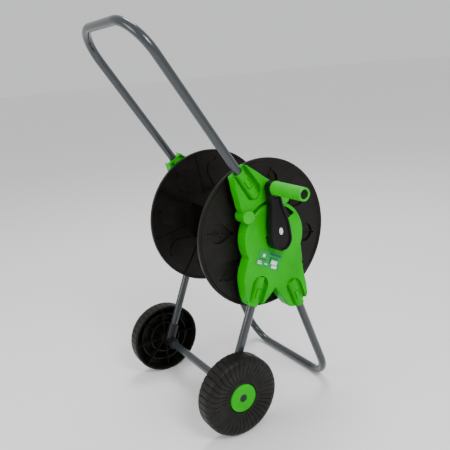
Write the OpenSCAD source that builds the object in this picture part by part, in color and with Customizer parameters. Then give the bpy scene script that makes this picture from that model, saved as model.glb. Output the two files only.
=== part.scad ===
// Garden hose reel cart: a cranked hose reel between two side plates, carried on a bent
// tube frame with two wheels at the back and a tube foot at the front.
// The cart is laid out with X across (+X is the crank side), +Y forwards to the foot and
// +Z up from the floor. in_frame() then puts the origin under the middle of the whole cart.

/* [Frame tubes] */
// Outside diameter of every frame tube
tube_d = 18; // [15:0.5:20]
// Wall of every frame tube
tube_wall = 1.2; // [0.8:0.1:2]
// Height of the reel axis above the floor
axis_height = 388; // [350:1:470]
// Overall height to the top of the handle
total_height = 836; // [720:1:1010]
// Lean of the handle away from upright, towards the user
handle_lean = 32.3; // [24:0.1:36]
// Distance of the handle's axis in front of the reel axis, at reel height
handle_lead = 22; // [14:0.5:26]
// Distance between the handle's side tubes, centre to centre
handle_width = 270; // [266:1:320]
// Bend radius of the handle's corners
handle_bend = 74; // [40:1:90]
// Distance between the rear legs, centre to centre
rear_width = 277; // [275:1:320]
// Distance of the foot bar in front of the reel axis
foot_reach = 133; // [110:1:175]
// Distance between the foot's side tubes, centre to centre
foot_width = 291; // [288:1:330]
// Bend radius of the foot's corners
foot_bend = 62; // [40:1:80]
// Distance that the leg axes pass behind the reel axis, at reel height
leg_lag = 5; // [0:0.5:10]

/* [Wheels] */
// Wheel diameter
wheel_d = 171; // [150:1:210]
// Wheel width
wheel_w = 40; // [30:1:50]
// Distance of the wheel axle behind the reel axis
axle_back = 135; // [110:1:170]
// Diameter of the axle rod
rod_d = 10; // [8:0.5:12]
// Number of tread blocks round a wheel
tread_count = 40; // [24:1:48]
// Depth of the grooves between the tread blocks
tread_depth = 1.6; // [1:0.1:2.5]
// Diameter of the coloured wheel cap
wheel_cap_d = 60; // [50:1:64]

/* [Reel] */
// Diameter of the reel discs
disc_d = 320; // [290:1:350]
// Outside distance across the two disc rims
reel_width = 224; // [190:1:226]
// Depth of the rim round each disc
rim_depth = 8; // [6:0.5:10]
// Thickness of the disc web
web_t = 3; // [2:0.5:4]
// Diameter of the drum that the hose winds on
drum_d = 132; // [110:1:134]
// Thickness of the drum staves
stave_t = 3; // [2:0.5:4]
// Angle that each stave covers
stave_angle = 100; // [60:5:120]
// Diameter of the reel's journals
journal_d = 36; // [32:1:40]
// Number of leaf pockets round a disc
leaf_count = 8; // [6:1:8]
// Depth of the leaf pockets
leaf_depth = 3; // [2:0.5:4]

/* [Side plates] */
// Distance between the outer faces of the hub housings
plate_span = 300; // [296:1:330]
// Depth of the side plates
plate_depth = 30; // [26:1:32]
// Wall of the plastic mouldings
plate_wall = 3; // [2.5:0.5:4]
// Diameter of the round hub housing
housing_d = 147; // [140:1:152]
// Distance of the bracket pins from the reel axis
pin_reach = 83; // [82:0.5:88]
// Diameter of the bracket pins' heads
pin_head_d = 27; // [22:1:28]
// Diameter of the bracket pins' shanks
pin_d = 9; // [7:0.5:11]

/* [Crank] */
// Distance of the grip from the reel axis
crank_reach = 110; // [90:1:130]
// Angle of the crank at rest, from straight forwards
crank_angle = 96.5; // [60:0.5:120]
// Depth of the crank lever
lever_depth = 19; // [15:0.5:24]
// Diameter of the lever's hub end
lever_hub_d = 48; // [42:1:54]
// Length of the grip
grip_length = 88; // [70:1:110]
// Grip diameter at the lever
grip_root_d = 29; // [25:0.5:32]
// Grip diameter at the outer end
grip_end_d = 26; // [23:0.5:29]
// Diameter of the grip's spindle
spindle_d = 12; // [9:0.5:14]

/* [Water fittings] */
// Outside diameter of the swivel tube
swivel_d = 16; // [13:0.5:18]
// Bore of the water path
water_bore = 9; // [7:0.5:10]
// Outside diameter of the hose connector nipples
nipple_d = 16; // [14:0.5:18]
// Length of the connector nipples
nipple_length = 22; // [18:1:26]

/* [Fits] */
// Radial clearance where a shaft turns in a bore
running_fit = 0.05; // [0.02:0.01:0.1]
// Gap between faces that turn past each other
turning_gap = 0.5; // [0.3:0.1:1]
// Radial clearance round parts that are pushed together and stay put
push_fit = 0.1; // [0.05:0.05:0.3]

/* [Hidden] */
$fn = 72;
over = 1;                       // how far a cutter runs past the face it cuts

tube_r = tube_d / 2;
wheel_r = wheel_d / 2;
disc_r = disc_d / 2;
housing_r = housing_d / 2;
face_x = plate_span / 2;
back_x = face_x - plate_depth;

// Barrels are the half-round sleeves that hold the tube ends.
barrel_r = tube_r + plate_wall;
pocket_r = barrel_r + 8;        // half width of the recess round a barrel
socket_depth = 58;              // how far a tube end goes into its barrel
socket_floor = 6;

// Distances along each tube axis, measured from the level of the reel axis.
bracket_mouth = 172;
rear_mouth = 149;
front_mouth = 176;
bracket_seat = bracket_mouth - socket_depth;
rear_seat = rear_mouth - socket_depth;
front_seat = front_mouth - socket_depth;

// Tube directions: each turns +Z onto the tube's own outward direction.
rear_rise = axis_height - wheel_r;
rear_lean = atan((axle_back - leg_lag) / rear_rise);
rear_length = norm([axle_back - leg_lag, rear_rise]);
foot_drop = axis_height - tube_r;
foot_lean = atan((foot_reach + leg_lag) / foot_drop);
foot_length = norm([foot_reach + leg_lag, foot_drop]);
handle_length = (total_height - tube_r - axis_height) / cos(handle_lean);

handle_turn = handle_lean;
rear_turn = 180 - rear_lean;
foot_turn = 180 + foot_lean;

// Half widths of the mouldings at distances along their tubes.
bracket_stations = [[58, 47], [92, 46], [115, 43], [135, 35], [150, 30], [165, 23], [176, 19]];
rear_stations = [[0, 44], [84, 44], [100, 41], [114, 35], [136, 23], [rear_mouth, barrel_r]];
front_stations = [[0, 58], [58, 56], [86, 48], [107, 39], [139, 33], [165, 26], [front_mouth, barrel_r]];

// Lateral places.
handle_x = handle_width / 2;
rear_x = rear_width / 2;
foot_x = foot_width / 2;
front_face_x = foot_x + barrel_r - 4;
bracket_face_x = handle_x + barrel_r;
bracket_back_x = handle_x - barrel_r + 2;

// Bracket pins.
pin_angles = [138.5, 71];
ear_r = pin_head_d / 2;
ear_split_x = back_x + 13;
pin_face_x = face_x - 2;        // the pins' heads stand 2 mm proud of the housing
pin_head_t = 4;
pin_clip_t = 2;

// Reel.
rim_x = reel_width / 2;
web_x = rim_x - 3;              // outer face of the web
web_in_x = web_x - web_t;
drum_r = drum_d / 2;
leaf_step = 360 / leaf_count;
leaf_phase = 168;
leaf_r = 21;
leaf_tip = 38;                  // from the leaf's middle to its tip
leaf_mid = (disc_r + drum_r) / 2;
rib_t = 2;
rib_h = 3;
flange_t = 4;
flange_h = 14;
screw_d = 5;
screw_ring = drum_r - 11;
screw_r = screw_d / 2;
screw_head_r = screw_r + 2.2;

rim_w = 6;
dish_r = screw_ring - screw_head_r - 2 * web_t - 1;
dish_x = web_x + 3;             // the web steps out round the hub
stave_mids = [90, 270];
screw_spread = 30;
screw_in = 12;

// Bearings.
journal_r = journal_d / 2;
bush_r = journal_r + 3;
bush_flange_t = 1.5;
boss_r = bush_r + 12;
shoulder_r = journal_r + 8;
shoulder_x = back_x - bush_flange_t - turning_gap;
journal_end_x = face_x - 1;
hub_ring_r = 23;
bolt_r = 3;
bolt_head_t = 5;

// Crank.
hub_ring_x = face_x + turning_gap;
lever_back_x = face_x + 7;
lever_face_x = lever_back_x + lever_depth;
lever_top_r = 13;
lever_hub_r = lever_hub_d / 2;
drive_w = 18;
drive_in = 22;
grip_x = lever_face_x + turning_gap;
grip_end_x = grip_x + grip_length;
spindle_r = spindle_d / 2;
spindle_head_r = 8.4;
spindle_head_t = 3;
spindle_recess = 6;

// Wheels and axle.
rod_r = rod_d / 2;
tee_r = tube_r + 3.5;
tee_in_x = rear_x - tee_r - 16;
tee_out_x = rear_x + tee_r;
washer_t = 1.5;
wheel_in_x = tee_out_x + washer_t + turning_gap;
wheel_out_x = wheel_in_x + wheel_w;
cap_t = 3;
cap_sink = 2;                   // how far the cap's face lies below the wheel's
cap_r = wheel_cap_d / 2;
cap_dimple_r = 7.5;
plug_r = 16;
hub_r = rod_r + 8;
retainer_t = 2;
retainer_x = wheel_out_x - cap_sink - cap_t - 6;
rod_end_x = retainer_x + retainer_t + 1.5;
wheel_rings = [38, 60];
wheel_ribs = 8;
tread_gap = 2;
leg_gap = tube_r;               // the leg's end stops level with the axle tube's top
leg_sleeve = 34;

// Water path.
swivel_r = swivel_d / 2;
water_r = water_bore / 2;
nipple_r = nipple_d / 2;
elbow_r = swivel_r + 5;
inlet_x = -face_x - elbow_r - 4;
swivel_end_x = inlet_x + water_r + 2;
seal_r = (swivel_r - water_r) * 12 / 35;    // the seal sinks two thirds into the tube's wall
seal_x = swivel_end_x + 4;
outlet_x = -58;
outlet_turn = 0;                // degrees from straight forwards
inlet_ring = bush_r + 6;
inlet_screw_r = 2;
inlet_screw_in = 10;

// Label.
label_mid = [-20, -45];
label_size = [62, 34];
label_turn = -28;
label_t = 0.4;

// The cart's outer faces, which fix the middle of its bounding box.
x_high = grip_end_x;
x_low = min(-wheel_out_x, inlet_x - elbow_r);
y_low = min(handle_lead - sin(handle_lean) * handle_length, -axle_back - wheel_r + tube_r) - tube_r;
y_high = max(foot_reach + tube_r, disc_r);
mid_x = (x_high + x_low) / 2;
mid_y = (y_high + y_low) / 2;

// ---- Placing ----

module in_frame() {
    translate([-mid_x, -mid_y, 0]) children();
}

module at_axis() {
    in_frame() translate([0, 0, axis_height]) children();
}

module at_axle() {
    in_frame() translate([0, -axle_back, wheel_r]) children();
}

// Puts children, drawn along +Z from the level of the reel axis, onto a tube's line.
module along_tube(turn, lead) {
    at_axis() translate([0, lead, 0]) rotate([turn, 0, 0]) children();
}

module far_side() {
    mirror([1, 0, 0]) children();
}

// far_side() for pieces whose place is already shifted into the frame.
module other_side() {
    in_frame() far_side() translate([mid_x, mid_y, 0]) children();
}

// ---- Shapes ----

// A cylinder along X between two places.
module rod_x(x0, x1, r) {
    translate([x0, 0, 0]) rotate([0, 90, 0]) cylinder(h = x1 - x0, r = r);
}

module ring_x(x0, x1, r_out, r_in) {
    difference() {
        rod_x(x0, x1, r_out);
        rod_x(x0 - over, x1 + over, r_in);
    }
}

// Extrudes a flat shape, drawn in Y and Z, along X between two places.
module plate_x(x0, x1) {
    translate([x0, 0, 0]) rotate([90, 0, 90]) linear_extrude(x1 - x0) children();
}

// A profile drawn as [radius, x] points, turned about the X axis.
module turned(points, start = 0, angle = 360) {
    rotate([0, 90, 0]) rotate([0, 0, start]) rotate_extrude(angle = angle) polygon(points);
}

// Outline from stations of [distance, half width], mirrored about the tube's line.
function outline(stations, trim) =
    let (last = len(stations) - 1)
    let (ends = [for (i = [0 : last]) i == last ? stations[i][0] - trim : stations[i][0]])
    concat(
        [for (i = [0 : last]) [stations[i][1] - trim, ends[i]]],
        [for (i = [last : -1 : 0]) [trim - stations[i][1], ends[i]]]
    );

module run_of_tube(z0, z1, r) {
    translate([0, 0, z0]) cylinder(h = z1 - z0, r = r);
}

// One side of a U: a straight leg up to a quarter bend.
module u_side(half_w, z0, z1, bend, r) {
    translate([half_w, 0, 0]) run_of_tube(z0, z1 - bend, r);
    translate([half_w - bend, 0, z1 - bend])
        rotate([90, 0, 0]) rotate_extrude(angle = 90) translate([bend, 0]) circle(r);
}

module u_solid(half_w, z0, z1, bend, r) {
    u_side(half_w, z0, z1, bend, r);
    far_side() u_side(half_w, z0, z1, bend, r);
    translate([0, 0, z1]) rod_x(bend - half_w, half_w - bend, r);
}

module u_tube(half_w, z0, z1, bend) {
    difference() {
        u_solid(half_w, z0, z1, bend, tube_r);
        u_solid(half_w, z0 - over, z1, bend, tube_r - tube_wall);
    }
}

// ---- Frame tubes ----

module handle_tube() {
    color("#4a5054") along_tube(handle_turn, handle_lead)
        u_tube(handle_x, bracket_seat, handle_length, handle_bend);
}

module foot_tube() {
    color("#4a5054") along_tube(foot_turn, -leg_lag)
        u_tube(foot_x, front_seat, foot_length, foot_bend);
}

module rear_leg() {
    color("#4a5054") along_tube(rear_turn, -leg_lag) translate([rear_x, 0, 0]) difference() {
        run_of_tube(rear_seat, rear_length - leg_gap, tube_r);
        run_of_tube(rear_seat - over, rear_length - leg_gap + over, tube_r - tube_wall);
    }
}

module axle_tube() {
    color("#4a5054") at_axle() ring_x(-rear_x + tube_r, rear_x - tube_r, tube_r, tube_r - tube_wall);
}

// ---- Sockets ----

// The barrel round a tube end, closed at the seat and left open at the mouth.
module barrel(x, seat, mouth) {
    translate([x, 0, 0]) run_of_tube(seat - socket_floor, mouth, barrel_r);
}

module barrel_bore(x, seat, mouth) {
    translate([x, 0, 0]) run_of_tube(seat, mouth + socket_floor, tube_r + push_fit);
}

// The U-shaped recess round a barrel, cut into the face to the barrel's middle.
module pocket(x, seat, mouth, face) {
    plate_x(x, face + 12) {
        translate([0, seat + 12]) circle(pocket_r);
        polygon([
            [-pocket_r, seat + 12], [pocket_r, seat + 12],
            [pocket_r - 3, mouth + 8], [3 - pocket_r, mouth + 8]
        ]);
    }
}

// The floor and walls that line a pocket inside a hollow moulding.
module pocket_lining(x, seat, mouth, face, stations) {
    plate_x(x - plate_wall, face - 1) intersection() {
        union() {
            translate([0, seat + 12]) circle(pocket_r + plate_wall);
            translate([-pocket_r - plate_wall, seat + 12])
                square([2 * (pocket_r + plate_wall), mouth - seat]);
        }
        polygon(outline(stations, 1));
    }
}

// The U-shaped slit that frees a snap tongue in the barrel's front.
module tongue_slit(x, seat) {
    slit = 1.2;
    half = 5;
    length = 20;
    translate([x + tube_r - 2, 0, seat + 20]) {
        for (side = [-1, 1])
            translate([0, side * half - slit / 2, 0]) cube([barrel_r, slit, length]);
        translate([0, -half, -slit]) cube([barrel_r, 2 * half, slit]);
    }
}

// ---- Upper brackets ----

module at_pins() {
    for (angle = pin_angles)
        translate([0, pin_reach * cos(angle), pin_reach * sin(angle)]) children();
}

// The same places, seen from the handle's own line.
module at_pins_on_handle() {
    rotate([-handle_turn, 0, 0]) translate([0, -handle_lead, 0]) at_pins() children();
}

module hub_on_handle() {
    rotate([-handle_turn, 0, 0]) translate([0, -handle_lead, 0]) children();
}

module upper_bracket() {
    arc_r = housing_r + 5;      // the foot of the bracket follows the hub housing
    back = min(bracket_back_x, back_x) - over;
    front = max(bracket_face_x, face_x) + over;
    color("#2fd324") along_tube(handle_turn, handle_lead) {
        difference() {
            union() {
                difference() {
                    plate_x(bracket_back_x, bracket_face_x) polygon(outline(bracket_stations, 0));
                    plate_x(back, bracket_face_x - plate_wall)
                        polygon(outline(bracket_stations, plate_wall));
                }
                intersection() {
                    plate_x(bracket_back_x, bracket_face_x) polygon(outline(bracket_stations, 0));
                    hub_on_handle() rod_x(bracket_back_x, bracket_face_x, arc_r + plate_wall);
                }
                pocket_lining(handle_x, bracket_seat, bracket_mouth, bracket_face_x, bracket_stations);
                at_pins_on_handle() rod_x(ear_split_x, pin_face_x, ear_r);
            }
            pocket(handle_x, bracket_seat, bracket_mouth, bracket_face_x);
            barrel_bore(handle_x, bracket_seat, bracket_mouth);
            hub_on_handle() rod_x(back, front, arc_r);
            at_pins_on_handle() {
                rod_x(back, ear_split_x, ear_r + push_fit);
                rod_x(back, front, pin_d / 2 + push_fit);
                rod_x(pin_face_x, front, ear_r + push_fit);
            }
        }
        difference() {
            barrel(handle_x, bracket_seat, bracket_mouth);
            barrel_bore(handle_x, bracket_seat, bracket_mouth);
            tongue_slit(handle_x, bracket_seat);
        }
    }
}

module bracket_pin() {
    rod_x(back_x - pin_clip_t, pin_face_x, pin_d / 2);
    rod_x(pin_face_x, pin_face_x + pin_head_t, ear_r);
    rod_x(back_x - pin_clip_t, back_x, pin_d / 2 + 2.5);
}

module bracket_pins() {
    color("#2fd324") {
        at_axis() at_pins() bracket_pin();
        at_axis() far_side() at_pins() bracket_pin();
    }
}

// ---- Side plates ----

// A flat shape turned onto a tube's line, for outlines drawn in Y and Z.
module flat_along(turn, lead) {
    translate([lead, 0]) rotate(turn) children();
}

module side_plate_outline(trim) {
    circle(housing_r - trim);
    flat_along(rear_turn, -leg_lag) polygon(outline(rear_stations, trim));
    flat_along(foot_turn, -leg_lag) polygon(outline(front_stations, trim));
}

// The front lobe's panel slopes out from the plate's face to clear the wider foot tubes.
module front_panel() {
    inset = 1;
    base_x = face_x - 2;
    slope_start = 70;
    slope_end = front_seat + 24;
    along_tube(foot_turn, -leg_lag) intersection() {
        plate_x(base_x, front_face_x) polygon(outline(front_stations, inset));
        rotate([90, 0, 0]) linear_extrude(2 * disc_d, center = true) polygon([
            [base_x, slope_start], [front_face_x, slope_end], [front_face_x, disc_d], [base_x, disc_d]
        ]);
    }
}

module side_plate_shell() {
    difference() {
        at_axis() {
            plate_x(back_x, face_x) side_plate_outline(0);
            at_pins() rod_x(back_x, ear_split_x, ear_r);
        }
        at_axis() plate_x(back_x - over, face_x - plate_wall) side_plate_outline(plate_wall);
    }
    front_panel();
}

module side_plate_socket(turn, x, seat, mouth) {
    along_tube(turn, -leg_lag) difference() {
        barrel(x, seat, mouth);
        barrel_bore(x, seat, mouth);
        tongue_slit(x, seat);
    }
}

module side_plate_cuts(turn, x, seat, mouth, face) {
    along_tube(turn, -leg_lag) {
        pocket(x, seat, mouth, face);
        barrel_bore(x, seat, mouth);
    }
}

// The pie-shaped window in the housing's face, between the crank and the front.
module window() {
    at_axis() difference() {
        plate_x(face_x - plate_wall - over, face_x + over)
            polygon([for (a = [0 : 8 : 32]) 66 * [cos(38 + a), sin(38 + a)], [30, 30]]);
        rod_x(face_x - plate_wall - 2 * over, face_x + 2 * over, 46);
    }
}

module side_plate() {
    color("#2fd324") {
        difference() {
            union() {
                side_plate_shell();
                at_axis() rod_x(back_x, face_x - 1, boss_r);
                along_tube(rear_turn, -leg_lag)
                    pocket_lining(rear_x, rear_seat, rear_mouth, face_x, rear_stations);
                along_tube(foot_turn, -leg_lag)
                    pocket_lining(foot_x, front_seat, front_mouth, face_x, front_stations);
            }
            side_plate_cuts(rear_turn, rear_x, rear_seat, rear_mouth, face_x);
            side_plate_cuts(foot_turn, foot_x, front_seat, front_mouth, front_face_x);
            at_axis() {
                rod_x(back_x - over, face_x + over, bush_r);
                at_pins() {
                    rod_x(back_x - over, ear_split_x + over, pin_d / 2 + push_fit);
                    rod_x(pin_face_x - push_fit, face_x + over, ear_r + push_fit);
                }
            }
            window();
        }
        side_plate_socket(rear_turn, rear_x, rear_seat, rear_mouth);
        side_plate_socket(foot_turn, foot_x, front_seat, front_mouth);
    }
}

// The far plate also takes the screws of the inlet elbow.
module side_plate_far() {
    color("#2fd324") difference() {
        other_side() side_plate();
        at_axis() at_inlet_screws() rod_x(-face_x - over, -face_x + inlet_screw_in, inlet_screw_r);
    }
}

module hub_bush() {
    color("#d8d8d0") at_axis() {
        ring_x(back_x, face_x, bush_r, journal_r + running_fit);
        ring_x(back_x - bush_flange_t, back_x, bush_r + 3, journal_r + running_fit);
    }
}

module side_label() {
    color("#0fb98a") at_axis() plate_x(face_x, face_x + label_t)
        translate(label_mid) rotate(label_turn) square(label_size, center = true);
}

// ---- Axle ----

module axle_joint() {
    leg_end = rear_length - leg_gap;
    color("#262626") difference() {
        union() {
            at_axle() rod_x(tee_in_x, tee_out_x, tee_r);
            along_tube(rear_turn, -leg_lag) translate([rear_x, 0, 0])
                run_of_tube(leg_end - leg_sleeve, rear_length, tee_r);
        }
        along_tube(rear_turn, -leg_lag) translate([rear_x, 0, 0])
            run_of_tube(leg_end - leg_sleeve - over, leg_end, tube_r + push_fit);
        at_axle() {
            rod_x(tee_in_x - over, rear_x - tube_r, tube_r + push_fit);
            rod_x(tee_in_x - over, tee_out_x + over, rod_r + push_fit);
        }
    }
}

module axle_rod() {
    color("#b9bcbe") at_axle() rod_x(-rod_end_x, rod_end_x, rod_r);
}

module both_sides() {
    children();
    far_side() children();
}

module wheel_washers() {
    color("#b9bcbe") at_axle() both_sides()
        ring_x(tee_out_x, tee_out_x + washer_t, rod_r + 7, rod_r + push_fit);
}

module axle_retainers() {
    color("#b9bcbe") at_axle() both_sides()
        ring_x(retainer_x, retainer_x + retainer_t, rod_r + 5, rod_r + push_fit);
}

// ---- Wheels ----

module wheel() {
    skin = 3;
    bore = rod_r + running_fit;
    seat_x = wheel_out_x - cap_sink - cap_t;
    floor_x = retainer_x - turning_gap;
    face_mid = (wheel_r + cap_r) / 2;
    color("#2b2b2b") at_axle() difference() {
        union() {
            turned([
                [bore, wheel_in_x], [hub_r, wheel_in_x], [hub_r, floor_x - skin],
                [plug_r + skin, floor_x - skin], [plug_r + skin, seat_x - skin],
                [cap_r + skin, seat_x - skin], [face_mid, wheel_out_x - skin],
                [wheel_r - 14, wheel_out_x - skin - 1], [wheel_r - 5, wheel_out_x - 9],
                [wheel_r - skin - tread_depth, wheel_out_x - 16], [wheel_r - skin - tread_depth, wheel_in_x],
                [wheel_r - 1, wheel_in_x], [wheel_r, wheel_in_x + 2], [wheel_r, wheel_out_x - 16],
                [wheel_r - 1.5, wheel_out_x - 9], [wheel_r - 6, wheel_out_x - 3.5],
                [wheel_r - 14, wheel_out_x - 0.8], [face_mid, wheel_out_x],
                [cap_r + 4, wheel_out_x - 1], [cap_r + push_fit, wheel_out_x - cap_sink],
                [cap_r + push_fit, seat_x], [plug_r, seat_x], [plug_r, floor_x], [bore, floor_x]
            ]);
            for (r = wheel_rings)
                ring_x(wheel_in_x + 8, wheel_out_x - skin - 6, r + skin / 2, r - skin / 2);
            for (i = [0 : wheel_ribs - 1])
                rotate([i * 360 / wheel_ribs, 0, 0])
                    translate([wheel_in_x + 4, hub_r - 1, -1])
                        cube([wheel_w - 14, wheel_r - hub_r - skin, 2]);
        }
        for (i = [0 : tread_count - 1])
            rotate([i * 360 / tread_count, 0, 0])
                translate([wheel_in_x - over, wheel_r - tread_depth, -tread_gap / 2])
                    cube([wheel_w - 12, tread_depth + over, tread_gap]);
    }
}

module wheel_cap() {
    seat_x = wheel_out_x - cap_sink - cap_t;
    color("#3fd028") at_axle() difference() {
        union() {
            rod_x(seat_x, seat_x + cap_t, cap_r);
            ring_x(seat_x - 3, seat_x, plug_r - push_fit, plug_r - 3);
        }
        rod_x(seat_x + cap_t - 1, seat_x + cap_t + over, cap_dimple_r);
    }
}

// ---- Reel ----

// A leaf: a round blade with its tip towards the hub and a short stem at the rim side.
module leaf_shape(grow) {
    r = leaf_r + grow;
    tip = leaf_tip + grow;
    lean = acos(r / tip);
    translate([leaf_mid, 0]) {
        circle(r);
        polygon([[-tip, 0], [-r * cos(lean), r * sin(lean)], [-r * cos(lean), -r * sin(lean)]]);
        translate([0, -1.5 - grow]) square([r + 6, 3 + 2 * grow]);
    }
}

module leaves(x0, x1, grow) {
    for (i = [0 : leaf_count - 1])
        rotate([leaf_phase + i * leaf_step, 0, 0]) plate_x(x0, x1) leaf_shape(grow);
}

module at_screws() {
    for (mid = stave_mids, side = [-1, 1])
        rotate([mid + side * screw_spread, 0, 0]) translate([0, screw_ring, 0]) children();
}

module disc_blank() {
    rim_in = disc_r - rim_w;
    turned([
        [0, dish_x], [dish_r, dish_x], [dish_r + web_t, web_in_x], [rim_in, web_in_x],
        [rim_in + 1, rim_x - rim_depth], [disc_r - 1, rim_x - rim_depth], [disc_r, rim_x - rim_depth + 1],
        [disc_r, rim_x - 1], [disc_r - 1, rim_x], [rim_in + 1, rim_x], [rim_in - 2, web_x],
        [dish_r + 2 * web_t, web_x], [dish_r + web_t, dish_x + web_t], [shoulder_r, dish_x + web_t],
        [shoulder_r, shoulder_x], [journal_r, shoulder_x], [journal_r, journal_end_x], [0, journal_end_x]
    ]);
    leaves(web_in_x - leaf_depth, web_in_x + 1, 2);
    ring_x(web_in_x - rib_h - 1, web_in_x + 1, drum_r + push_fit + 2.5, drum_r + push_fit);
    for (i = [0 : leaf_count - 1])
        rotate([leaf_phase + (i + 0.5) * leaf_step, 0, 0])
            translate([web_in_x - rib_h, drum_r + 1, -rib_t / 2])
                cube([rib_h + 1, rim_in - drum_r, rib_t]);
}

module disc_cuts() {
    leaves(web_x - leaf_depth, rim_x, 0);
    at_screws() rod_x(web_in_x - over, web_x + over, screw_r + push_fit);
}

module reel_disc_crank() {
    color("#2a2a28") at_axis() difference() {
        disc_blank();
        disc_cuts();
        rotate([crank_angle - 90, 0, 0])
            translate([journal_end_x - drive_in, -drive_w / 2 - push_fit, -drive_w / 2 - push_fit])
                cube([drive_in + over, drive_w + 2 * push_fit, drive_w + 2 * push_fit]);
        rod_x(dish_x - over, journal_end_x, bolt_r + push_fit);
    }
}

module reel_disc_far() {
    color("#2a2a28") at_axis() far_side() difference() {
        disc_blank();
        disc_cuts();
        rod_x(dish_x - over, journal_end_x + over, swivel_r + push_fit);
    }
}

module drum_stave(mid) {
    inner = drum_r - stave_t;
    foot = drum_r - flange_h;
    color("#34322f") at_axis() difference() {
        turned([
            [drum_r, -web_in_x], [drum_r, web_in_x], [foot, web_in_x], [foot, web_in_x - flange_t],
            [inner, web_in_x - flange_t], [inner, flange_t - web_in_x],
            [foot, flange_t - web_in_x], [foot, -web_in_x]
        ], mid - stave_angle / 2 + 90, stave_angle);
        both_sides() at_screws() rod_x(web_in_x - flange_t - over, web_in_x + over, screw_r + push_fit);
    }
}

module drum_screws() {
    color("#8d9092") at_axis() both_sides() at_screws() {
        rod_x(web_in_x - screw_in, web_x, screw_r);
        rod_x(web_x, web_x + 2.5, screw_head_r);
    }
}

// ---- Crank ----

// Lever outline in Y and Z, pointing up: a round hub end drawn in to a narrow top.
module lever_shape(trim) {
    circle(lever_hub_r - trim);
    translate([0, crank_reach]) circle(lever_top_r - trim);
    polygon([
        [trim - lever_hub_r, 0], [trim - lever_hub_r, lever_hub_r], [trim - lever_top_r, 3 * lever_hub_r],
        [trim - lever_top_r, crank_reach], [lever_top_r - trim, crank_reach],
        [lever_top_r - trim, 3 * lever_hub_r], [lever_hub_r - trim, lever_hub_r], [lever_hub_r - trim, 0]
    ]);
}

module in_crank() {
    at_axis() rotate([crank_angle - 90, 0, 0]) children();
}

module at_grip() {
    in_crank() translate([0, 0, crank_reach]) children();
}

module crank_lever() {
    skin = 2.5;
    sink = 1.2;
    color("#262625") difference() {
        union() {
            in_crank() difference() {
                plate_x(lever_back_x, lever_face_x) lever_shape(0);
                plate_x(lever_back_x - over, lever_face_x - skin - sink) lever_shape(skin);
                plate_x(lever_face_x - sink, lever_face_x + over) lever_shape(skin + 1);
            }
            in_crank() {
                ring_x(hub_ring_x, lever_back_x + skin, hub_ring_r, hub_ring_r - 3);
                rod_x(hub_ring_x, lever_face_x - sink, drive_w / 2 + 4);
                translate([journal_end_x - drive_in + 1, -drive_w / 2, -drive_w / 2])
                    cube([drive_in + lever_depth, drive_w, drive_w]);
            }
            at_grip() rod_x(lever_back_x, lever_face_x - sink, spindle_r + 4);
        }
        at_axis() rod_x(journal_end_x - drive_in, lever_face_x - 5, bolt_r + push_fit);
        at_grip() rod_x(lever_back_x - over, lever_face_x + over, spindle_r + push_fit);
    }
}

module crank_bolt() {
    color("#8d9092") at_axis() {
        rod_x(dish_x - bolt_head_t, dish_x, bolt_r + 3.5);
        rod_x(dish_x, lever_face_x - 7, bolt_r);
    }
}

module grip_spindle() {
    head_x = grip_end_x - spindle_recess + turning_gap;
    color("#232323") at_grip() {
        rod_x(lever_back_x + 1, head_x, spindle_r);
        rod_x(head_x, head_x + spindle_head_t, spindle_head_r);
    }
}

module crank_grip() {
    color("#39e010") at_grip() difference() {
        translate([grip_x, 0, 0]) rotate([0, 90, 0])
            cylinder(h = grip_length, d1 = grip_root_d, d2 = grip_end_d);
        rod_x(grip_x - over, grip_end_x + over, spindle_r + running_fit);
        rod_x(grip_end_x - spindle_recess, grip_end_x + over, spindle_head_r + turning_gap);
    }
}

// ---- Water path ----

// A push-on hose connector, drawn along +Z from its root.
module nipple() {
    neck = nipple_length / 2;
    cylinder(h = 4, r = nipple_r + 2);
    cylinder(h = 4 + neck, r = nipple_r);
    cylinder(h = nipple_length - 3, r = nipple_r - 1.6);
    translate([0, 0, nipple_length - 3]) cylinder(h = 3, r = nipple_r - 0.4);
}

module swivel_tube() {
    color("#d9dcdd") at_axis() difference() {
        rod_x(swivel_end_x, outlet_x, swivel_r);
        rod_x(swivel_end_x - over, outlet_x + over, water_r);
        ring_x(seal_x - seal_r - 0.3, seal_x + seal_r + 0.3, swivel_r + over, swivel_r - 2 * seal_r - 0.1);
    }
}

module swivel_seal() {
    color("#151515") at_axis() translate([seal_x, 0, 0]) rotate([0, 90, 0])
        rotate_extrude() translate([swivel_r - seal_r - 0.03, 0]) circle(seal_r);
}

module outlet_elbow() {
    color("#2c2c2c") at_axis() difference() {
        union() {
            rod_x(outlet_x - 14, outlet_x + 13, elbow_r);
            rotate([outlet_turn, 0, 0]) translate([outlet_x, 0, 0]) rotate([-90, 0, 0]) {
                cylinder(h = elbow_r + 3, r = nipple_r + 2);
                translate([0, 0, elbow_r + 3]) nipple();
            }
        }
        rod_x(outlet_x - 14 - over, outlet_x, swivel_r + push_fit);
        rod_x(outlet_x - over, outlet_x + 6, water_r);
        rotate([outlet_turn, 0, 0]) translate([outlet_x, 0, 0]) rotate([-90, 0, 0])
            cylinder(h = 80, r = water_r);
    }
}

module at_inlet_screws() {
    for (i = [0 : 2])
        rotate([30 + 120 * i, 0, 0]) translate([0, inlet_ring, 0]) children();
}

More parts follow.
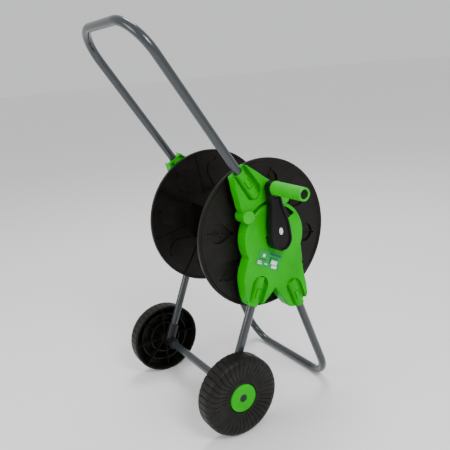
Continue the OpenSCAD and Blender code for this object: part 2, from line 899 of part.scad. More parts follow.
module inlet_elbow() {
    color("#2c2c2c") at_axis() difference() {
        union() {
            rod_x(-face_x - 3, -face_x, boss_r);
            rod_x(inlet_x - elbow_r, -face_x, elbow_r);
            translate([inlet_x, 0, 0]) rotate([180, 0, 0]) {
                cylinder(h = elbow_r + 2, r = nipple_r + 2);
                translate([0, 0, elbow_r + 2]) nipple();
            }
        }
        rod_x(inlet_x - 4, -face_x + over, swivel_r + running_fit);
        translate([inlet_x, 0, 0]) rotate([180, 0, 0]) cylinder(h = 80, r = water_r);
        at_inlet_screws() rod_x(-face_x - 3 - over, -face_x + over, inlet_screw_r + push_fit);
    }
}

module inlet_screws() {
    color("#8d9092") at_axis() at_inlet_screws() {
        rod_x(-face_x - 3, -face_x + inlet_screw_in - 2, inlet_screw_r - push_fit);
        rod_x(-face_x - 5.5, -face_x - 3, inlet_screw_r + 2);
    }
}

handle_tube();
upper_bracket();  // upper_bracket_crank
other_side() upper_bracket();  // upper_bracket_far
bracket_pins();
side_plate();  // side_plate_crank
side_plate_far();
hub_bush();  // hub_bush_crank
other_side() hub_bush();  // hub_bush_far
side_label();
rear_leg();  // rear_leg_crank
other_side() rear_leg();  // rear_leg_far
foot_tube();
axle_tube();
axle_joint();  // axle_joint_crank
other_side() axle_joint();  // axle_joint_far
axle_rod();
axle_retainers();
wheel_washers();
wheel();  // wheel_crank
other_side() wheel();  // wheel_far
wheel_cap();  // wheel_cap_crank
other_side() wheel_cap();  // wheel_cap_far
reel_disc_crank();
reel_disc_far();
drum_stave(stave_mids[0]);  // drum_stave_upper
drum_stave(stave_mids[1]);  // drum_stave_lower
drum_screws();
crank_lever();
crank_bolt();
grip_spindle();
crank_grip();
swivel_tube();
swivel_seal();
outlet_elbow();
inlet_elbow();
inlet_screws();
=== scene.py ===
import bpy
import bmesh
import math
from mathutils import Matrix, Vector


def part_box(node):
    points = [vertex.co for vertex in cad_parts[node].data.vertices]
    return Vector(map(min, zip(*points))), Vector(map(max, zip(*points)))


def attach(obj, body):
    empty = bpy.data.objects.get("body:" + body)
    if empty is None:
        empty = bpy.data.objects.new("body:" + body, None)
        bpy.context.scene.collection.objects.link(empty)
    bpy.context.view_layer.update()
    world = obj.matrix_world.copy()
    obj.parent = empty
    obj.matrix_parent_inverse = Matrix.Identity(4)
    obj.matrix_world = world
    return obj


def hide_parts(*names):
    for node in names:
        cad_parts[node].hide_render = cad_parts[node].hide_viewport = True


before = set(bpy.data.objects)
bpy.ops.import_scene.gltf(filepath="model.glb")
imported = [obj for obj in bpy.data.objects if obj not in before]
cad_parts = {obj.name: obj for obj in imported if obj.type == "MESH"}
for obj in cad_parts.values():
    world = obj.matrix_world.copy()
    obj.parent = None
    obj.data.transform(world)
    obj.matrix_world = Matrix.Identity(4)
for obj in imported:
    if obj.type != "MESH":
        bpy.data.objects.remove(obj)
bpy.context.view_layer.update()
print("frame loaded with", len(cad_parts), "nodes")

mm = 0.001
discLow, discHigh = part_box("reel_disc_crank")
axleLow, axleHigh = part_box("axle_tube")
middleX = (axleLow.x + axleHigh.x) / 2      # the cart's own middle, between the wheels
hub = Vector((middleX, (discLow.y + discHigh.y) / 2, (discLow.z + discHigh.z) / 2))


# Colours are written as sRGB hex and turned linear here.
def hexColour(code):
    parts = [int(code[i:i + 2], 16) / 255 for i in (0, 2, 4)]
    return [c / 12.92 if c <= 0.04045 else ((c + 0.055) / 1.055) ** 2.4 for c in parts] + [1.0]


def addNode(tree, kind, values=None, links=None, **settings):
    node = tree.nodes.new("ShaderNode" + kind)
    for name, value in settings.items():
        setattr(node, name, value)
    for name, value in (values or {}).items():
        node.inputs[name].default_value = value
    for name, source in (links or {}).items():
        tree.links.new(source, node.inputs[name])
    return node


# Moulded plastics: a flow mottle in the colour, a fine spark-eroded grain in the bump, and
# long soft marks where the melt ran, which break up the gloss.
def mouldedPlastic(name, look):
    material = bpy.data.materials.new(name)
    material.use_nodes = True
    tree = material.node_tree
    shader = tree.nodes["Principled BSDF"]
    shader.inputs["IOR"].default_value = look["ior"]
    shader.inputs["Specular IOR Level"].default_value = look.get("shine", 0.5)
    shader.inputs["Coat Weight"].default_value = look.get("coat", 0.0)
    shader.inputs["Coat Roughness"].default_value = look.get("coatRoughness", 0.2)
    shader.inputs["Subsurface Weight"].default_value = look.get("glow", 0.0)
    shader.inputs["Subsurface Radius"].default_value = (0.002, 0.004, 0.001)
    place = addNode(tree, "TexCoord").outputs["Object"]
    mottle = addNode(tree, "TexNoise", {"Scale": 1000 / look["mottleSize"], "Detail": 4.0}, {"Vector": place})
    flow = addNode(tree, "TexNoise", {"Scale": 1000 / look["flowSize"], "Detail": 2.0, "Distortion": 1.2},
                   {"Vector": place})
    spread = addNode(tree, "MapRange", {"From Min": 0.32, "From Max": 0.68}, {"Value": mottle.outputs["Fac"]})
    colour = addNode(tree, "Mix", {"A": hexColour(look["deep"]), "B": hexColour(look["light"])},
                     {"Factor": spread.outputs["Result"]}, data_type="RGBA")
    gloss = addNode(tree, "MapRange", {"From Min": 0.3, "From Max": 0.7, "To Min": look["smooth"],
                                       "To Max": look["rough"]}, {"Value": flow.outputs["Fac"]})
    grain = addNode(tree, "TexNoise", {"Scale": 1000 / look["grainSize"], "Detail": 3.0}, {"Vector": place})
    ripple = addNode(tree, "Bump", {"Strength": look["grainDepth"], "Distance": 0.0004},
                     {"Height": grain.outputs["Fac"]})
    sink = addNode(tree, "Bump", {"Strength": look["flowDepth"], "Distance": 0.002},
                   {"Height": flow.outputs["Fac"], "Normal": ripple.outputs["Normal"]})
    tree.links.new(colour.outputs["Result"], shader.inputs["Base Color"])
    tree.links.new(gloss.outputs["Result"], shader.inputs["Roughness"])
    tree.links.new(sink.outputs["Normal"], shader.inputs["Normal"])
    return material


# Polyester powder coat on steel tube: slate grey, glossy, with a faint orange peel about
# 2 mm across that softens the long highlights.
def powderCoat(name, look):
    material = bpy.data.materials.new(name)
    material.use_nodes = True
    tree = material.node_tree
    shader = tree.nodes["Principled BSDF"]
    shader.inputs["IOR"].default_value = 1.5
    shader.inputs["Coat Weight"].default_value = look["coat"]
    shader.inputs["Coat Roughness"].default_value = look["coatRoughness"]
    place = addNode(tree, "TexCoord").outputs["Object"]
    peel = addNode(tree, "TexNoise", {"Scale": 1000 / look["peelSize"], "Detail": 2.0}, {"Vector": place})
    fleck = addNode(tree, "TexNoise", {"Scale": 1000 / look["fleckSize"], "Detail": 6.0}, {"Vector": place})
    colour = addNode(tree, "Mix", {"A": hexColour(look["deep"]), "B": hexColour(look["light"])},
                     {"Factor": fleck.outputs["Fac"]}, data_type="RGBA")
    gloss = addNode(tree, "MapRange", {"To Min": look["smooth"], "To Max": look["rough"]},
                    {"Value": fleck.outputs["Fac"]})
    bump = addNode(tree, "Bump", {"Strength": look["peelDepth"], "Distance": 0.0005},
                   {"Height": peel.outputs["Fac"]})
    tree.links.new(colour.outputs["Result"], shader.inputs["Base Color"])
    tree.links.new(gloss.outputs["Result"], shader.inputs["Roughness"])
    tree.links.new(bump.outputs["Normal"], shader.inputs["Normal"])
    return material


# Zinc-plated steel: bright, with fine turning marks round the part's own axis along X.
def zincPlate(name, look):
    material = bpy.data.materials.new(name)
    material.use_nodes = True
    tree = material.node_tree
    shader = tree.nodes["Principled BSDF"]
    shader.inputs["Metallic"].default_value = 1.0
    place = addNode(tree, "TexCoord").outputs["Object"]
    turned = addNode(tree, "Mapping", {"Scale": (1000 / look["markPitch"], 40.0, 40.0)}, {"Vector": place})
    marks = addNode(tree, "TexNoise", {"Scale": 1.0, "Detail": 3.0}, {"Vector": turned.outputs["Vector"]})
    bloom = addNode(tree, "TexNoise", {"Scale": 1000 / look["bloomSize"], "Detail": 4.0}, {"Vector": place})
    colour = addNode(tree, "Mix", {"A": hexColour(look["deep"]), "B": hexColour(look["light"])},
                     {"Factor": bloom.outputs["Fac"]}, data_type="RGBA")
    gloss = addNode(tree, "MapRange", {"To Min": look["smooth"], "To Max": look["rough"]},
                    {"Value": marks.outputs["Fac"]})
    bump = addNode(tree, "Bump", {"Strength": 0.15, "Distance": 0.0003}, {"Height": marks.outputs["Fac"]})
    tree.links.new(colour.outputs["Result"], shader.inputs["Base Color"])
    tree.links.new(gloss.outputs["Result"], shader.inputs["Roughness"])
    tree.links.new(bump.outputs["Normal"], shader.inputs["Normal"])
    return material


# Sizes below are in real millimetres.
finishes = {
    # polyester powder coat on steel tube
    "slatePowderCoat": powderCoat("slatePowderCoat", {
        "deep": "252a2d", "light": "30363a", "smooth": 0.18, "rough": 0.26, "peelSize": 2.2,
        "peelDepth": 0.02, "fleckSize": 5, "coat": 0.3, "coatRoughness": 0.04}),
    # pigmented polypropylene from a satin mould: vivid, a little light spreads inside it
    "greenPolypropylene": mouldedPlastic("greenPolypropylene", {
        "deep": "009a00", "light": "00ae00", "smooth": 0.3, "rough": 0.42, "ior": 1.49, "mottleSize": 60,
        "flowSize": 45, "flowDepth": 0.06, "grainSize": 0.9, "grainDepth": 0.03,
        "glow": 0.05, "shine": 0.14}),
    # the wheel caps come from another, slightly milkier batch
    "greenCapPlastic": mouldedPlastic("greenCapPlastic", {
        "deep": "029c00", "light": "04b002", "smooth": 0.32, "rough": 0.42, "ior": 1.49, "mottleSize": 25,
        "flowSize": 20, "flowDepth": 0.05, "grainSize": 0.8, "grainDepth": 0.03,
        "glow": 0.05, "shine": 0.14}),
    # the grip and the round pin heads are polished in the mould, so they are glossier
    "greenGripPlastic": mouldedPlastic("greenGripPlastic", {
        "deep": "0aa400", "light": "12b800", "smooth": 0.24, "rough": 0.32, "ior": 1.5, "mottleSize": 30,
        "flowSize": 25, "flowDepth": 0.04, "grainSize": 0.8, "grainDepth": 0.02, "glow": 0.05, "shine": 0.3}),
    # recycled black polypropylene: brownish, with soft flow marks
    "blackReelPlastic": mouldedPlastic("blackReelPlastic", {
        "deep": "110f0d", "light": "1a1715", "smooth": 0.3, "rough": 0.42, "ior": 1.49, "mottleSize": 35,
        "flowSize": 30, "flowDepth": 0.1, "grainSize": 1.1, "grainDepth": 0.04, "shine": 0.16}),
    # blow-moulded polyethylene wheels: waxy and dull
    "blackWheelPlastic": mouldedPlastic("blackWheelPlastic", {
        "deep": "171614", "light": "21201d", "smooth": 0.38, "rough": 0.5, "ior": 1.51, "mottleSize": 18,
        "flowSize": 24, "flowDepth": 0.08, "grainSize": 1.0, "grainDepth": 0.05, "shine": 0.14}),
    # glass-filled nylon lever: fine even texture
    "blackLeverPlastic": mouldedPlastic("blackLeverPlastic", {
        "deep": "0b0a0a", "light": "121111", "smooth": 0.28, "rough": 0.4, "ior": 1.53, "mottleSize": 22,
        "flowSize": 22, "flowDepth": 0.05, "grainSize": 0.9, "grainDepth": 0.04, "shine": 0.16}),
    # nylon axle joints and axle plugs: black, a little shinier than the wheels
    "blackJointPlastic": mouldedPlastic("blackJointPlastic", {
        "deep": "0c0c0c", "light": "141414", "smooth": 0.34, "rough": 0.46, "ior": 1.49, "mottleSize": 15,
        "flowSize": 18, "flowDepth": 0.06, "grainSize": 0.9, "grainDepth": 0.05, "shine": 0.36}),
    # ABS hose fittings: black and fairly glossy
    "blackFittingPlastic": mouldedPlastic("blackFittingPlastic", {
        "deep": "1e1e1e", "light": "2b2b2b", "smooth": 0.28, "rough": 0.38, "ior": 1.54, "mottleSize": 14,
        "flowSize": 16, "flowDepth": 0.05, "grainSize": 0.8, "grainDepth": 0.1}),
    # acetal bushes: waxy off-white
    "whiteAcetal": mouldedPlastic("whiteAcetal", {
        "deep": "cfcfc6", "light": "dedfd6", "smooth": 0.3, "rough": 0.4, "ior": 1.48, "mottleSize": 12,
        "flowSize": 16, "flowDepth": 0.04, "grainSize": 0.8, "grainDepth": 0.06, "glow": 0.1}),
    # the swivel tube: pale grey acetal, turned smooth
    "paleTubePlastic": mouldedPlastic("paleTubePlastic", {
        "deep": "c3c7c9", "light": "d4d8da", "smooth": 0.26, "rough": 0.36, "ior": 1.48, "mottleSize": 12,
        "flowSize": 16, "flowDepth": 0.04, "grainSize": 0.7, "grainDepth": 0.06, "glow": 0.05}),
    # rubber seal ring: matt
    "blackSealRubber": mouldedPlastic("blackSealRubber", {
        "deep": "101010", "light": "191919", "smooth": 0.6, "rough": 0.75, "ior": 1.52, "mottleSize": 6,
        "flowSize": 8, "flowDepth": 0.05, "grainSize": 0.6, "grainDepth": 0.15}),
    # printed polyester film, in three inks
    "tealLabelFilm": mouldedPlastic("tealLabelFilm", {
        "deep": "008a2e", "light": "009a38", "smooth": 0.24, "rough": 0.32, "ior": 1.57, "mottleSize": 9,
        "flowSize": 30, "flowDepth": 0.05, "grainSize": 0.6, "grainDepth": 0.02, "shine": 0.2}),
    "whiteLabelInk": mouldedPlastic("whiteLabelInk", {
        "deep": "d5dedb", "light": "e9efed", "smooth": 0.2, "rough": 0.28, "ior": 1.57, "mottleSize": 9,
        "flowSize": 30, "flowDepth": 0.05, "grainSize": 0.6, "grainDepth": 0.02, "shine": 0.2}),
    "darkLabelInk": mouldedPlastic("darkLabelInk", {
        "deep": "0b4a3c", "light": "115c4b", "smooth": 0.2, "rough": 0.28, "ior": 1.57, "mottleSize": 9,
        "flowSize": 30, "flowDepth": 0.05, "grainSize": 0.6, "grainDepth": 0.02, "shine": 0.2}),
    # zinc plate on the axle, washers, bolt and screws
    "zincSteel": zincPlate("zincSteel", {
        "deep": "9fa3a6", "light": "c2c5c8", "smooth": 0.22, "rough": 0.38, "markPitch": 0.35,
        "bloomSize": 4}),
}
print("finishes made:", len(finishes))


def leaveEdit():
    if bpy.context.mode != "OBJECT":
        bpy.ops.object.mode_set(mode="OBJECT")


def selectOnly(*chosen):
    leaveEdit()
    bpy.ops.object.select_all(action="DESELECT")
    for item in chosen:
        item.select_set(True)
    bpy.context.view_layer.objects.active = chosen[0]


def startEdit(piece, kind="FACE"):
    selectOnly(piece)
    bpy.ops.object.mode_set(mode="EDIT")
    bpy.ops.mesh.select_mode(type=kind)
    bpy.ops.mesh.select_all(action="DESELECT")


# Adds to the selection each vertex, edge or face that the test picks.
def pick(kind, test):
    mesh = bpy.context.edit_object.data
    work = bmesh.from_edit_mesh(mesh)
    for element in getattr(work, kind):
        if test(element):
            element.select_set(True)
    work.select_flush_mode()
    bmesh.update_edit_mesh(mesh)


def pickAgain(kind, test):
    bpy.ops.mesh.select_all(action="DESELECT")
    pick(kind, test)


def applyPlace(piece):
    selectOnly(piece)
    bpy.ops.object.transform_apply(location=True, rotation=True, scale=True)


def useModifier(piece, kind, **settings):
    selectOnly(piece)
    modifier = piece.modifiers.new(kind.lower(), kind)
    for name, value in settings.items():
        setattr(modifier, name, value)
    bpy.ops.object.modifier_apply(modifier=modifier.name)


def softenEdges(piece, width, segments=2, angle=32):
    useModifier(piece, "BEVEL", limit_method="ANGLE", angle_limit=math.radians(angle), width=width,
                segments=segments, use_clamp_overlap=False)
    smoothFaces(piece, angle)


def smoothFaces(piece, angle=32):
    selectOnly(piece)
    bpy.ops.object.shade_smooth_by_angle(angle=math.radians(angle))
    useModifier(piece, "WEIGHTED_NORMAL", keep_sharp=True, weight=50)


def joinInto(piece, *others):
    selectOnly(piece, *others)
    bpy.ops.object.join()


def duplicateOf(piece, name):
    twin = piece.copy()
    twin.data = piece.data.copy()
    twin.name = name
    bpy.context.scene.collection.objects.link(twin)
    return twin


def cutAway(piece, cutter):
    useModifier(piece, "BOOLEAN", operation="DIFFERENCE", object=cutter, solver="EXACT", use_self=True)
    bpy.data.objects.remove(cutter)


def paint(piece, *names):
    piece.data.materials.clear()
    for name in names:
        piece.data.materials.append(finishes[name])


def settle(piece, body, slotName, *nodes):
    leaveEdit()
    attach(piece, body)
    if nodes:
        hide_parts(*nodes)


# A welded copy of a CAD part, with flat faces joined up, ready to be shaped further.
def copyOfPart(nodeName, name):
    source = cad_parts[nodeName]
    piece = source.copy()
    piece.data = source.data.copy()
    for tag in list(piece.keys()):
        del piece[tag]
    piece.name = name
    piece.parent = None
    piece.matrix_world = Matrix.Identity(4)
    bpy.context.scene.collection.objects.link(piece)
    selectOnly(piece)
    bpy.ops.mesh.customdata_custom_splitnormals_clear()
    startEdit(piece, "VERT")
    bpy.ops.mesh.select_all(action="SELECT")
    bpy.ops.mesh.remove_doubles(threshold=0.00001)
    bpy.ops.mesh.dissolve_limited(angle_limit=math.radians(0.3))
    leaveEdit()
    return piece


def across(point, centre):
    return math.hypot(point.y - centre.y, point.z - centre.z)


# Pulls the selected round end along X, ring by ring, to each (radius, x) in turn.
def pullEnd(radius, x, centre, profile):
    for nextRadius, nextX in profile:
        bpy.ops.mesh.extrude_region_move(TRANSFORM_OT_translate={"value": (nextX - x, 0, 0)})
        grow = nextRadius / radius
        if abs(grow - 1) > 0.00001:
            bpy.ops.transform.resize(value=(1, grow, grow), center_override=(nextX, centre.y, centre.z))
        radius, x = nextRadius, nextX


# Starts a round piece about an axle along X, between two places.
def roundBlank(name, centre, x0, x1, radius, columns):
    bpy.ops.mesh.primitive_cylinder_add(vertices=columns, radius=radius, depth=x1 - x0, end_fill_type="NGON",
                                        location=((x0 + x1) / 2, centre.y, centre.z),
                                        rotation=(0, math.pi / 2, 0))
    piece = bpy.context.active_object
    piece.name = name
    applyPlace(piece)
    return piece


# A wheel is pulled out of one round blank: tread, shoulder and dished face on the outside, then
# a hollow back with its rings, hub and bore. Radii and depths are in mm, depths from the face.
wheelShape = {
    "blocks": 40, "columnsPerBlock": 11, "treadNotch": 1.6, "faceGroove": 1.2, "grooveFrom": 38.0,
    "face": [(85.3, -13), (84.4, -9.5), (82.8, -6.2), (80.3, -3.6), (77, -1.7), (73, -0.6), (68, -0.1),
             (63, -0.4), (58, -1.3), (53, -2.6), (48, -3.9), (43.5, -4.7), (40, -5), (36.5, -4.9),
             (34.2, -3.6), (33, -2.5), (31.9, -2.5), (31.3, -9), (16, -9), (5.1, -9)],
    "swirl": [(84.9, -0.5), (81.5, -0.8), (78.5, -0.9), (75, -0.9), (70, -0.8), (65, -0.5), (60, -0.2),
              (55, 0.3), (50, 0.6), (45, 0.7)],
    "back": [(80.9, 0), (80.9, 28), (78, 33.5), (72, 36), (61.5, 36), (61.5, 14), (58.6, 14), (58.6, 35),
             (48, 32), (39.4, 30.5), (39.4, 10), (36.5, 10), (36.5, 28), (13, 27.5), (13, 0.5), (12.2, 0),
             (5.1, 0)],
    "ribCount": 8, "ribThickness": 1.8, "ribFrom": 12.5, "ribTo": 81.5, "ribDepths": (6, 35), "ribDraft": 0.6,
    "treadFrom": 2, "treadTo": -16, "treadBand": 1.2, "backChamfer": 1, "swirlDepth": 14, "crease": 28,
}


def makeWheel(name, nodeName):
    low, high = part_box(nodeName)
    radius = (high.z - low.z) / 2
    centre = (low + high) / 2
    columns = wheelShape["blocks"] * wheelShape["columnsPerBlock"]
    treadIn = low.x + wheelShape["treadFrom"] * mm
    treadOut = high.x + wheelShape["treadTo"] * mm
    wheel = roundBlank(name, centre, treadIn, treadOut, radius, columns)
    startEdit(wheel)
    pick("faces", lambda face: face.normal.x > 0.9)
    pullEnd(radius, treadOut, centre, [(r * mm, high.x + x * mm) for r, x in wheelShape["face"]])
    pickAgain("faces", lambda face: face.normal.x < -0.9)
    pullEnd(radius, treadIn, centre, [(radius - wheelShape["backChamfer"] * mm, low.x)]
            + [(r * mm, low.x + x * mm) for r, x in wheelShape["back"]])

    # the bore is bridged through between the two ends
    pick("faces", lambda face: len(face.verts) == columns
         and across(face.calc_center_median(), centre) < 1 * mm)
    bpy.ops.mesh.delete(type="ONLY_FACE")
    bpy.ops.mesh.select_mode(type="EDGE")
    pickAgain("edges", lambda edge: edge.is_boundary)
    bpy.ops.mesh.bridge_edge_loops()

    # one column in eleven is sunk, for the notches between the tread blocks and the face grooves
    def onGroove(vertex):
        angle = math.atan2(vertex.co.z - centre.z, vertex.co.y - centre.y)
        return round(angle / (2 * math.pi / columns)) % wheelShape["columnsPerBlock"] == 0

    def onFace(vertex):
        reach = across(vertex.co, centre) / mm
        depth = (vertex.co.x - high.x) / mm
        ring = min(wheelShape["face"], key=lambda point: abs(point[0] - reach))
        return abs(ring[0] - reach) < 1 and abs(ring[1] - depth) < 1

    bpy.ops.mesh.select_mode(type="VERT")
    pickAgain("verts", lambda vertex: onGroove(vertex) and vertex.co.x < treadOut + 1 * mm
              and across(vertex.co, centre) > radius - wheelShape["treadBand"] * mm)
    bpy.ops.transform.shrink_fatten(value=-wheelShape["treadNotch"] * mm)
    pickAgain("verts", lambda vertex: onGroove(vertex) and onFace(vertex)
              and across(vertex.co, centre) > wheelShape["grooveFrom"] * mm)
    bpy.ops.transform.shrink_fatten(value=-wheelShape["faceGroove"] * mm)
    for edgeRadius, degrees in wheelShape["swirl"]:
        pickAgain("verts", lambda vertex: vertex.co.x > high.x - wheelShape["swirlDepth"] * mm
                  and across(vertex.co, centre) < edgeRadius * mm)
        bpy.ops.transform.rotate(value=math.radians(degrees), orient_axis="X", center_override=centre)
    leaveEdit()

    # one rib, turned round the hub for the rest
    ribNear, ribFar = wheelShape["ribDepths"]
    ribs = []
    for i in range(wheelShape["ribCount"]):
        bpy.ops.mesh.primitive_cube_add(size=1, location=(
            low.x + (ribNear + ribFar) / 2 * mm, centre.y,
            centre.z + (wheelShape["ribFrom"] + wheelShape["ribTo"]) / 2 * mm))
        rib = bpy.context.active_object
        rib.scale = ((ribFar - ribNear) * mm, wheelShape["ribThickness"] * mm,
                     (wheelShape["ribTo"] - wheelShape["ribFrom"]) * mm)
        applyPlace(rib)
        startEdit(rib)
        pick("faces", lambda face: face.normal.x < -0.9)
        bpy.ops.transform.resize(value=(1, wheelShape["ribDraft"], 1), center_override=centre)
        bpy.ops.mesh.select_all(action="SELECT")
        bpy.ops.transform.rotate(value=2 * math.pi * i / wheelShape["ribCount"], orient_axis="X",
                                 center_override=centre)
        leaveEdit()
        ribs.append(rib)
    joinInto(wheel, *ribs)
    smoothFaces(wheel, wheelShape["crease"])
    paint(wheel, "blackWheelPlastic")
    return wheel


# The cap is a shallow button with a rounded edge and a dark axle plug sunk in its middle.
capShape = {"columns": 96, "edge": [(29.9, -2.9), (29.5, -2.3), (28.6, -2), (8.8, -2), (8.4, -2.2),
                                    (8.3, -3), (8.1, -3), (7.8, -2.6), (7.2, -2.5), (3, -2.5)],
            "plugWithin": 8.32, "radius": 29.9, "back": -8.8, "shoulder": -5, "crease": 40}


def makeWheelCap(name, nodeName, wheelNode):
    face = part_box(wheelNode)[1].x
    low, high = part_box(nodeName)
    centre = (low + high) / 2
    radius, shoulder = capShape["radius"] * mm, face + capShape["shoulder"] * mm
    cap = roundBlank(name, centre, face + capShape["back"] * mm, shoulder, radius, capShape["columns"])
    startEdit(cap)
    pick("faces", lambda f: f.normal.x > 0.9)
    pullEnd(radius, shoulder, centre, [(r * mm, face + x * mm) for r, x in capShape["edge"]])
    paint(cap, "greenCapPlastic", "blackJointPlastic")
    startEdit(cap)
    pick("faces", lambda f: all(across(v.co, centre) < capShape["plugWithin"] * mm for v in f.verts))
    cap.active_material_index = 1
    bpy.ops.object.material_slot_assign()
    leaveEdit()
    smoothFaces(cap, capShape["crease"])
    return cap


# The same moulding is used on both sides, so the far one is the near one turned about.
def turnedAbout(piece, name, low, high):
    twin = duplicateOf(piece, name)
    selectOnly(twin)
    middle = (low + high) / 2
    bpy.ops.transform.rotate(value=math.pi, orient_axis="Z", center_override=(middleX, middle.y, middle.z))
    applyPlace(twin)
    return twin


wheelNear = makeWheel("wheelCrankSide", "wheel_crank")
capNear = makeWheelCap("wheelCapCrankSide", "wheel_cap_crank", "wheel_crank")
wheelFar = turnedAbout(wheelNear, "wheelFarSide", *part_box("wheel_crank"))
capFar = turnedAbout(capNear, "wheelCapFarSide", *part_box("wheel_crank"))
settle(wheelNear, "crank_side_wheel", "wheel_plastic", "wheel_crank")
settle(capNear, "crank_side_wheel", "cap_plastic", "wheel_cap_crank")
settle(wheelFar, "far_side_wheel", "wheel_plastic", "wheel_far")
settle(capFar, "far_side_wheel", "cap_plastic", "wheel_cap_far")
print("wheels made")

# The grip: a tapered sleeve with a collar at the lever, a stepped end and a deep bore.
gripShape = {
    "outer": [(14.5, 3), (14.5, 5.5), (14.1, 6.2), (13.35, 76), (13.0, 77), (13.0, 78.2), (13.3, 79),
              (13.1, 86), (12.7, 87.3), (11.8, 88), (9.9, 88), (9.2, 87.3), (9, 86), (9, 82.2), (6.1, 82.2)],
    "root": [(14.1, 0.4), (13.4, 0), (6.1, 0)],
    "columns": 72, "collarRadius": 14.5, "collarFrom": 1.2, "collarTo": 2, "crease": 30,
}


def makeGrip():
    low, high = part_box("crank_grip")
    centre = (low + high) / 2
    radius = gripShape["collarRadius"] * mm
    collarBack, collarFront = low.x + gripShape["collarFrom"] * mm, low.x + gripShape["collarTo"] * mm
    grip = roundBlank("crankGrip", centre, collarBack, collarFront, radius, gripShape["columns"])
    startEdit(grip)
    pick("faces", lambda face: face.normal.x > 0.9)
    pullEnd(radius, collarFront, centre, [(r * mm, low.x + x * mm) for r, x in gripShape["outer"]])
    pickAgain("faces", lambda face: face.normal.x < -0.9)
    pullEnd(radius, collarBack, centre, [(r * mm, low.x + x * mm) for r, x in gripShape["root"]])
    pick("faces", lambda face: len(face.verts) == gripShape["columns"])
    bpy.ops.mesh.delete(type="ONLY_FACE")
    bpy.ops.mesh.select_mode(type="EDGE")
    pickAgain("edges", lambda edge: edge.is_boundary)
    bpy.ops.mesh.bridge_edge_loops()
    leaveEdit()
    smoothFaces(grip, gripShape["crease"])
    paint(grip, "greenGripPlastic")
    return grip


settle(makeGrip(), "grip", "grip_plastic", "crank_grip")
print("grip made")

# The crank lever: a teardrop drawn up from the hub in slices, with a rounded front edge, a
# raised rim round a sunk panel, a hollow back, and a castellated ring behind its hub.
leverShape = {
    "waist": [(8, 24), (20, 23.9), (34, 22.6), (48, 19.2), (62, 15.6), (76, 13.3), (90, 12.4), (102, 12.6)],
    "hubRadius": 24, "topRadius": 13, "topHeight": 110, "edgeRound": 2.2, "rim": 2.8, "panelSink": 2.8,
    "wall": 2.6, "hollow": 13, "lean": 6.5, "archRadius": 23, "archWidth": 1.5,
    "ringTeeth": 16, "ringRadius": 22.4, "toothHeight": 1.5, "ringGap": 0.6, "ringOverlap": 2,
    "depth": 19, "foot": (-23.6, 4.5), "hubAngles": (-72, -60, -48, -36, -24, -12, 0),
    "topAngles": (12, 28, 44, 58, 70, 80), "archCut": 20.6, "panelStep": (0.5, -0.1), "softening": 0.35,
    "crease": 38,
}


